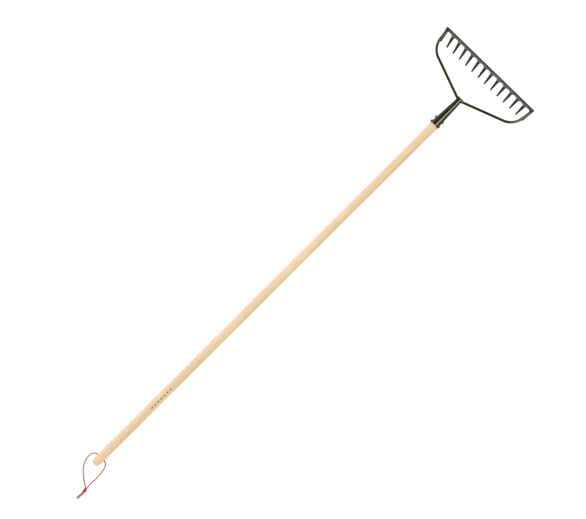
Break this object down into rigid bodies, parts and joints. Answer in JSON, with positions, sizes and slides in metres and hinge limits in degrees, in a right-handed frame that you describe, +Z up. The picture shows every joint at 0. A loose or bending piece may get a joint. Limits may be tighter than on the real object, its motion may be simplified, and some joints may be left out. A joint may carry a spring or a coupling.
{
  "type": "bow rake",
  "caption": "Long-handled bow rake: a steel comb of leaning tines on a round-rod bow, a tapered riveted socket, a straight round ash handle and a knotted hanging lace.",
  "frame": {"origin": "bottom centre of the rake's bounding box as it lies on its tine tips and its handle end, without the lace", "axes": "+X along the ground from the handle end to the comb, +Y to the left of a user who holds the handle, +Z up from the ground"},
  "size_m": [1.7911, 0.3614, 0.0651],
  "materials": {
    "ash_wood": "pale ash, turned smooth and lightly oiled",
    "black_enamel": "glossy olive-black enamel over steel",
    "blackened_rivet": "steel rivets painted over with the socket",
    "red_lace": "red braided cotton lace"
  },
  "bodies": {
    "root": {"handle": "ash_wood", "socket": "black_enamel", "bow": "black_enamel", "comb": "black_enamel", "left_comb_weld": "black_enamel", "left_root_weld": "black_enamel", "right_comb_weld": "black_enamel", "right_root_weld": "black_enamel", "rear_rivet": "blackened_rivet", "front_rivet": "blackened_rivet", "left_lace": "red_lace", "right_lace": "red_lace", "lace_knot": "red_lace"}
  },
  "joints": []
}
